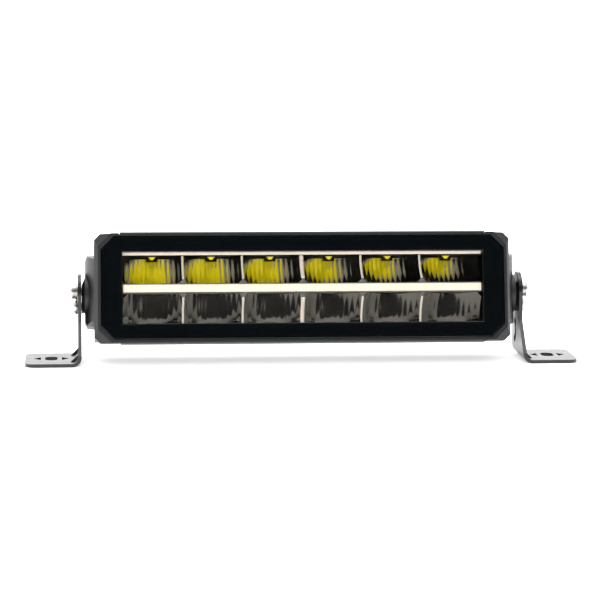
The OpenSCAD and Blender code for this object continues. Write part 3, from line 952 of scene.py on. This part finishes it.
    def flange(self) -> bmesh.types.BMesh:
        """Makes the flange along the window, painted white as a highlight.

        Returns:
            The mesh in world metres.
        """
        bm = bmesh.new()
        block(
            bm, (-self.reach, self.front, self.flange_low),
            (self.reach, self.front + self.flange_t, self.flange_top),
        )
        round_edges(bm, 0.3, 3)
        return self.to_world(bm)

    def ceiling(self) -> bmesh.types.BMesh:
        """Makes the black plates behind the flange, a dark sheet that stands for the painted shade
        above the mirrors, with a notch at each LED.

        Returns:
            The mesh in world metres.
        """
        bm = bmesh.new()
        low, high = self.ceiling_low, self.ceiling_top
        stop = self.led - self.ceiling_stop
        block(
            bm, (-self.reach, self.front + self.flange_t + 0.2, low), (self.reach, stop, high)
        )
        for centre in self.centres():
            for s in (-1, 1):
                ends = sorted((centre + s * self.notch_half, centre + s * self.pitch / 2))
                block(bm, (ends[0], stop, low), (ends[1], self.vertex - 0.8, high))
        round_edges(bm, 0.15, 2)
        return self.to_world(bm)

    def build(self) -> None:
        """Makes every piece of the row; only the upper one shows a flange and a ceiling."""
        place_piece(
            f"{self.name}_mirror", self.mirror_mesh(), MIRROR,
            nodes=[f"{self.name}_reflector"], weighted=False,
        )
        # The ridges are painted white: a painted highlight along the chrome edges between the cups
        place_piece(
            f"{self.name}_ridges", self.ridges(), PAINTED_HIGHLIGHT_EDGE,
            weighted=False,
        )
        place_piece(
            f"{self.name}_gussets", self.gussets(), GREY_PLASTIC
        )
        # The lower row gets the lighter shroud copy: painted light, not a different moulding
        shroud = BLACK_SHROUD if self.side > 0 else LIGHTENED_SHROUD
        place_piece(f"{self.name}_led_shrouds", self.shrouds(), shroud)
        if self.side > 0:
            # The flange is painted white: a painted highlight along the reflector's front edge
            place_piece(
                f"{self.name}_flange", self.flange(), PAINTED_HIGHLIGHT_EDGE
            )
            # The ceiling plates are black: painted shade where the cavity above the mirrors lies in
            # shadow
            place_piece(f"{self.name}_ceiling", self.ceiling(), BLACK_SHROUD)


# ---- LEDs and boards ----------------------------------------------------------------------------


@dataclass
class LedBoards:
    """Boards, pads, LEDs, domes and the screws that hold them."""

    dome_edge_mm: float = 0.3
    dome_segments: int = 3
    package_edge_mm: float = 0.15

    def build(self) -> None:
        """Makes the domes and packages and dresses the boards."""
        for row in ("upper", "lower"):
            # The phosphor domes carry a faint painted glow from their emission
            place_piece(
                f"{row}_phosphor_domes",
                softened(f"{row}_led_phosphors", self.dome_edge_mm, self.dome_segments),
                GLOWING_PHOSPHOR, nodes=[f"{row}_led_phosphors"],
            )
            place_piece(
                f"{row}_led_packages", softened(f"{row}_leds", self.package_edge_mm),
                LED_PACKAGE, nodes=[f"{row}_leds"],
            )
            dress(f"{row}_led_board", WHITE_BOARD)
        dress("thermal_pads", THERMAL_PAD)
        dress("board_screws", ZINC)
        dress("reflector_screws", ZINC)


# ---- position light -----------------------------------------------------------------------------


@dataclass
class PositionLight:
    """Ribbed opal strip between the rows, its carrier, board and LEDs."""

    half_w: float = 123.0
    half_h: float = 2.6
    front: float = 5.6
    depth: float = 5.6
    rib: float = 1.0
    rib_rise: float = 0.45
    rib_steps: int = 3
    face_round: float = 0.5
    lip_edge: float = 0.25
    lip_segments: int = 3
    rib_turn_deg: float = 50.0

    def guide(self) -> bmesh.types.BMesh:
        """Makes the light guide with fine upright ribs on its face.

        Returns:
            The guide's mesh in world metres.
        """
        bm = bmesh.new()
        count = round(2 * self.half_w / self.rib)
        grid = bmesh.ops.create_grid(
            bm, x_segments=count * self.rib_steps, y_segments=4, size=0.5
        )["verts"]
        for vert in grid:
            x = vert.co.x * 2 * self.half_w
            z = vert.co.y * 2 * self.half_h
            phase = (vert.co.x + 0.5) * count
            rise = self.rib_rise * abs(math.sin(math.pi * phase))
            dome = self.face_round * (1 - (2 * vert.co.y) ** 4)
            vert.co = (x, self.front + self.face_round - dome - rise + self.rib_rise, z)
        bmesh.ops.recalc_face_normals(bm, faces=bm.faces)
        if sum(f.normal.y for f in bm.faces) > 0:
            bmesh.ops.reverse_faces(bm, faces=bm.faces)
        back = bmesh.ops.extrude_face_region(bm, geom=bm.faces[:])["geom"]
        fresh = [g for g in back if isinstance(g, bmesh.types.BMVert)]
        for vert in fresh:
            vert.co.y = self.front + self.depth
        bmesh.ops.recalc_face_normals(bm, faces=bm.faces)
        sharpen(bm, self.rib_turn_deg)
        bm.transform(LAMP)
        return bm

    def carrier(self) -> bmesh.types.BMesh:
        """Makes the grey carrier with its rounded lips.

        Returns:
            The carrier's mesh in world metres.
        """
        return softened("light_guide_carrier", self.lip_edge, self.lip_segments)

    def build(self) -> None:
        """Makes the guide and the carrier and dresses what is behind them."""
        place_piece(
            "position_guide", self.guide(), OPAL, nodes=["light_guide"],
            weighted=False,
        )
        place_piece(
            "position_carrier", self.carrier(), GREY_PLASTIC,
            nodes=["light_guide_carrier"],
        )
        dress("position_board", WHITE_BOARD)
        # The position LEDs carry the phosphor's faint painted glow
        dress("position_leds", GLOWING_PHOSPHOR)


# ---- driver, gland and vent ---------------------------------------------------------------------


@dataclass
class Driver:
    """Driver board and wiring inside the housing."""

    def build(self) -> None:
        """Dresses every part of the driver."""
        for node, finish in (
            ("driver_board", GREEN_BOARD), ("driver_pad", THERMAL_PAD),
            ("driver_inductors", FERRITE), ("driver_capacitors", CAPACITOR),
            ("driver_connector", NYLON), ("led_wires", WIRE),
        ):
            dress(node, finish)


@dataclass
class RearFittings:
    """Cable gland and breather vent on the back."""

    gland_edge_mm: float = 0.3
    nut_edge_mm: float = 0.35
    vent_edge_mm: float = 0.25

    def build(self) -> None:
        """Makes the gland, its nut and the vent, and dresses the rest."""
        for node, name, width in (
            ("cable_gland", "gland_body", self.gland_edge_mm),
            ("gland_nut", "gland_dome_nut", self.nut_edge_mm),
            ("breather_vent", "breather_plug", self.vent_edge_mm),
        ):
            place_piece(name, softened(node, width), BLACK_NYLON, nodes=[node])
        dress("gland_seal", RUBBER)
        dress("gland_locknut", ZINC)


# ---- tilt joint and brackets --------------------------------------------------------------------


@dataclass
class TiltJoint:
    """Spacers, inserts, screws and washers on both sides."""

    spacer_edge_mm: float = 0.3
    screw_edge_mm: float = 0.2
    flat_edge_mm: float = 0.15
    split_edge_mm: float = 0.2
    thin_edge_mm: float = 0.12

    def build(self) -> None:
        """Makes each visible fastener and spacer."""
        for side in ("left", "right"):
            place_piece(
                f"{side}_spacer", softened(f"{side}_pivot_spacer", self.spacer_edge_mm),
                SPACER_PLASTIC, nodes=[f"{side}_pivot_spacer"],
            )
        for node, name, width in (
            ("pivot_screws", "pivot_button_screws", self.screw_edge_mm),
            ("lock_screws", "lock_button_screws", self.screw_edge_mm),
        ):
            place_piece(name, softened(node, width), STAINLESS, nodes=[node])
        for node, name, width in (
            ("pivot_washers", "pivot_flat_washers", self.flat_edge_mm),
            ("pivot_spring_washers", "pivot_split_washers", self.split_edge_mm),
            ("lock_washers", "lock_flat_washers", self.thin_edge_mm),
        ):
            place_piece(
                name, softened(node, width), WASHER_STEEL, nodes=[node]
            )
        dress("threaded_inserts", BRASS)


@dataclass
class Bracket:
    """One bent foot bracket."""

    side: str
    edge_mm: float = 0.3

    def build(self) -> None:
        """Makes the bracket with softened edges."""
        place_piece(
            f"{self.side}_foot_bracket", softened(f"{self.side}_bracket", self.edge_mm),
            STEEL_COAT, body=f"{self.side}_mount",
            nodes=[f"{self.side}_bracket"],
        )


# ---- studio -------------------------------------------------------------------------------------


@dataclass(frozen=True)
class Softbox:
    """One rectangular soft light; places and sizes are in metres."""

    name: str
    spot: tuple
    size: tuple
    watts: float
    aim: tuple = (0, 0, 0.05)
    mirrored: bool = True

    def hang(self) -> None:
        """Hangs the light; glossy surfaces show it only where it is mirrored."""
        data = bpy.data.lights.new(self.name, "AREA")
        data.shape = "RECTANGLE"
        data.size, data.size_y = self.size
        data.energy = self.watts
        lamp = bpy.data.objects.new(self.name, data)
        way = Vector(self.aim) - Vector(self.spot)
        lamp.location = self.spot
        lamp.rotation_euler = way.to_track_quat("-Z", "Y").to_euler()
        lamp.visible_glossy = self.mirrored
        bpy.context.scene.collection.objects.link(lamp)


@dataclass
class Studio:
    """Pale floor, soft lights, world and camera."""

    floor_half: float = 9.0
    lens_mm: float = 152.0
    room_light: float = 1.15
    dark_wall: tuple = ((1, -0.15, -0.45), (2, 0.09, 0.17), (2, 0.72, 0.62))
    lights: tuple = (
        Softbox("top_softbox", (0, 0.1, 1.3), (1.6, 0.7), 14, aim=(0, 0, 0)),
        Softbox("back_softbox", (0, 1.3, 0.9), (2.2, 0.5), 14),
        Softbox("far_softbox", (0, 2.2, 0.75), (5.0, 0.9), 20),
        Softbox("front_fill", (-0.2, -2.0, 0.35), (1.2, 0.8), 60, mirrored=False),
        Softbox("high_fill", (-0.2, -1.4, 1.1), (1.0, 0.8), 18, mirrored=False),
    )
    camera_from_rim: tuple = (-0.150, -1.705, 0.2275)
    aim_x: float = -0.0027
    aim_drop: float = 0.0092
    roll_deg: float = 0.3

    def floor(self) -> None:
        """Lays the pale floor."""
        bm = bmesh.new()
        bmesh.ops.create_grid(bm, x_segments=2, y_segments=2, size=self.floor_half)
        mesh = bpy.data.meshes.new("studio_floor")
        bm.to_mesh(mesh)
        bm.free()
        floor = bpy.data.objects.new("studio_floor", mesh)
        bpy.context.scene.collection.objects.link(floor)
        mesh.materials.append(FLOOR_PAINT.material())

    def world(self) -> None:
        """Paints a white room with one dark wall in front, which the glossy border mirrors."""
        world = bpy.data.worlds.new("studio_room")
        world.use_nodes = True
        tree = world.node_tree
        tree.nodes.clear()
        way = add_node(tree, "ShaderNodeTexCoord", {}, {}).outputs["Generated"]
        axes = add_node(tree, "ShaderNodeSeparateXYZ", {}, {0: way}).outputs
        wall = None
        for axis, start, end in self.dark_wall:
            edge = add_node(
                tree, "ShaderNodeMapRange", {"interpolation_type": "SMOOTHSTEP"},
                {"Value": axes[axis], "From Min": start, "From Max": end},
            ).outputs[0]
            wall = edge if wall is None else add_node(
                tree, "ShaderNodeMath", {"operation": "MULTIPLY"}, {0: wall, 1: edge}
            ).outputs[0]
        paint = add_node(
            tree, "ShaderNodeMix", {"data_type": "RGBA"},
            {"Factor": wall, 6: linear("#FFFFFF"), 7: linear("#0B0C0D")},
        ).outputs[2]
        room = add_node(
            tree, "ShaderNodeBackground", {}, {"Color": paint, "Strength": self.room_light}
        )
        add_node(tree, "ShaderNodeOutputWorld", {}, {"Surface": room.outputs[0]})
        bpy.context.scene.world = world

    def camera(self) -> None:
        """Stands the camera a little left of the lamp and above it."""
        rim = LAMP @ Vector((0, 0, 0))
        aim = Vector((self.aim_x, rim.y, rim.z - self.aim_drop))
        data = bpy.data.cameras.new("view")
        data.lens = self.lens_mm
        data.sensor_width = 36.0
        data.clip_start, data.clip_end = 0.05, 60.0
        camera = bpy.data.objects.new("view", data)
        camera.location = rim + Vector(self.camera_from_rim)
        turn = (aim - camera.location).to_track_quat("-Z", "Y")
        roll = Matrix.Rotation(math.radians(self.roll_deg), 3, "Z").to_quaternion()
        camera.rotation_mode = "QUATERNION"
        camera.rotation_quaternion = turn @ roll
        bpy.context.scene.collection.objects.link(camera)
        bpy.context.scene.camera = camera

    def build(self) -> None:
        """Builds the whole studio."""
        self.floor()
        self.world()
        for light in self.lights:
            light.hang()
        self.camera()
        bpy.context.scene.view_settings.view_transform = "Standard"
        LOG.info("studio built")


def main() -> None:
    """Builds every sub-assembly, then the studio."""
    Housing().build()
    Lens().build()
    ReflectorRow("upper", 1).build()
    ReflectorRow("lower", -1).build()
    LedBoards().build()
    PositionLight().build()
    Driver().build()
    RearFittings().build()
    TiltJoint().build()
    for side in ("left", "right"):
        Bracket(side).build()
    Studio().build()


if __name__ == "__main__":
    main()
